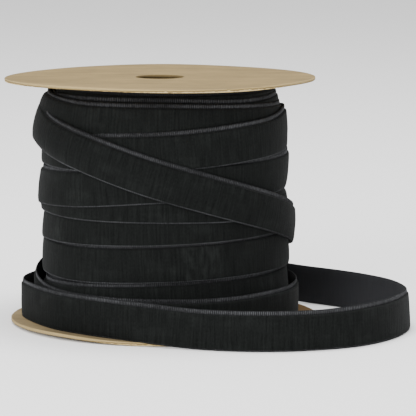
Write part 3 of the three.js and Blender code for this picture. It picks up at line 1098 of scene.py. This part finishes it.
class RIBBON_OT_inner(bpy.types.Operator):
    """Wind the hidden inner turns: a plain body, with real turns at its top end"""

    bl_idname = "velvet_roll.inner"
    bl_label = "Inner turns"

    def execute(self, context):
        settings = context.scene.velvet_roll
        turns = ribbon_piece("inner_turns", spiral_path(settings.ribbon.spiral_pitch), settings)
        settle(turns, "velvet")
        inner = CORE_RADIUS + BODY_GAP * MM
        outline = [(radius * MM, height * MM, "face") for radius, height in BODY_OUTLINE]
        outline = [(inner, outline[0][1], "face"), *outline, (inner, outline[-1][1], "face")]
        body = revolved("inner_winding", outline, PACK_AXIS, BODY_SEGMENTS)
        body.data.materials.append(velvet("back", back_material, settings))
        settle(body, "velvet")
        return {"FINISHED"}


class RIBBON_OT_outer(bpy.types.Operator):
    """Wind the outer turns and the crossing turn, and the two turns under the top flange"""

    bl_idname = "velvet_roll.outer"
    bl_label = "Outer turns"

    def execute(self, context):
        settings = context.scene.velvet_roll
        step = settings.ribbon.step
        path = winding_path(Winding(OUTER_HEIGHTS, OUTER_SHAPES), 0, CROSSING_END, step)
        turns = ribbon_piece("outer_turns", path, settings)
        settle(turns, "velvet", "wound_ribbon")
        picks = picks_piece("outer_selvedge_picks", path, settings)
        settle(picks, "velvet")
        for row, shape in zip(TOP_HEIGHTS, TOP_SHAPES):
            name = row["turn"] + "_turn"
            path = winding_path(Winding([row] * 3, [shape] * 3), 1, 2, step, closed=True)
            settle(ribbon_piece(name, path, settings), "velvet")
            settle(picks_piece(name + "_picks", path, settings), "velvet")
        return {"FINISHED"}


class RIBBON_OT_tail(bpy.types.Operator):
    """Lay the loose tail round the foot of the roll and out in its big loop"""

    bl_idname = "velvet_roll.tail"
    bl_label = "Loose tail"

    def execute(self, context):
        settings = context.scene.velvet_roll
        path = tail_path(Winding(OUTER_HEIGHTS, OUTER_SHAPES), settings.ribbon.step)
        tail = ribbon_piece("tail", path, settings)
        settle(tail, "velvet", "loose_ribbon")
        picks = picks_piece("tail_selvedge_picks", path, settings, TAIL_LOWER_PICK_LENGTH)
        settle(picks, "velvet")
        return {"FINISHED"}


def area_light(name, place, size, energy):
    light = bpy.data.lights.new(name, "AREA")
    light.shape = "DISK"
    light.size = size
    light.energy = energy
    made = linked(name, light)
    made.location = place
    made.rotation_euler = (Vector(LIGHTS_AIM) - Vector(place)).to_track_quat("-Z", "Y").to_euler()


class STAGE_OT_studio(bpy.types.Operator):
    """Set the pale floor, soft lights and the camera"""

    bl_idname = "velvet_roll.studio"
    bl_label = "Studio"

    def execute(self, context):
        stage = context.scene.velvet_roll.stage
        self.floor(stage)
        world = bpy.data.worlds.new("surround")
        world.use_nodes = True
        background = world.node_tree.nodes["Background"]
        background.inputs["Color"].default_value = (1, 1, 1, 1)
        background.inputs["Strength"].default_value = stage.world
        context.scene.world = world
        for light in LIGHTS:
            area_light(**light)
        self.camera(context, stage)
        return {"FINISHED"}

    def floor(self, stage):
        sides = ((-1, -1), (1, -1), (1, 1), (-1, 1))
        corners = [(x * FLOOR_REACH, y * FLOOR_REACH, -FLOOR_DROP) for x, y in sides]
        mesh = bpy.data.meshes.new("floor")
        mesh.from_pydata(corners, [], [(0, 1, 2, 3)])
        finish = Finish("floor paint", Roughness=0.9, Specular_IOR_Level=0.1, Base_Color=(*stage.floor, 1))
        mesh.materials.append(finish.material)
        linked("floor", mesh)

    def camera(self, context, stage):
        lens = bpy.data.cameras.new("camera")
        lens.lens = stage.lens
        lens.sensor_fit = "HORIZONTAL"
        lens.sensor_width = 36
        lens.clip_end = 50
        camera = linked("camera", lens)
        camera.location = (SPOOL_X + CAMERA_RIGHT, SPOOL_Y - CAMERA_BACK, CAMERA_HEIGHT)
        camera.rotation_euler = (math.radians(90 - CAMERA_TILT), 0, 0)
        context.scene.camera = camera


class RIBBON_PT_panel(bpy.types.Panel):
    """The settings and the steps that build the roll"""

    bl_label = "Roll of velvet ribbon"
    bl_space_type = "VIEW_3D"
    bl_region_type = "UI"
    bl_category = "Ribbon"

    def draw(self, context):
        settings = context.scene.velvet_roll
        for group in (settings.spool, settings.ribbon, settings.colours, settings.stage):
            box = self.layout.box()
            for name in group.bl_rna.properties.keys():
                if name not in ("rna_type", "name"):
                    box.prop(group, name)
        for step in STEPS:
            self.layout.operator(step.bl_idname)


STEPS = (
    SPOOL_OT_flanges, SPOOL_OT_core, RIBBON_OT_inner, RIBBON_OT_outer, RIBBON_OT_tail, STAGE_OT_studio,
)
CLASSES = (SpoolSizes, RibbonSizes, Colours, StageSettings, RollSettings, *STEPS, RIBBON_PT_panel)


def register():
    for cls in CLASSES:
        bpy.utils.register_class(cls)
    bpy.types.Scene.velvet_roll = PointerProperty(type=RollSettings)


def unregister():
    del bpy.types.Scene.velvet_roll
    for cls in reversed(CLASSES):
        bpy.utils.unregister_class(cls)


def main():
    register()
    for step in STEPS:
        group, name = step.bl_idname.split(".")
        getattr(getattr(bpy.ops, group), name)()
    bpy.data.objects.remove(bpy.data.objects["section"])


if __name__ == "__main__":
    main()
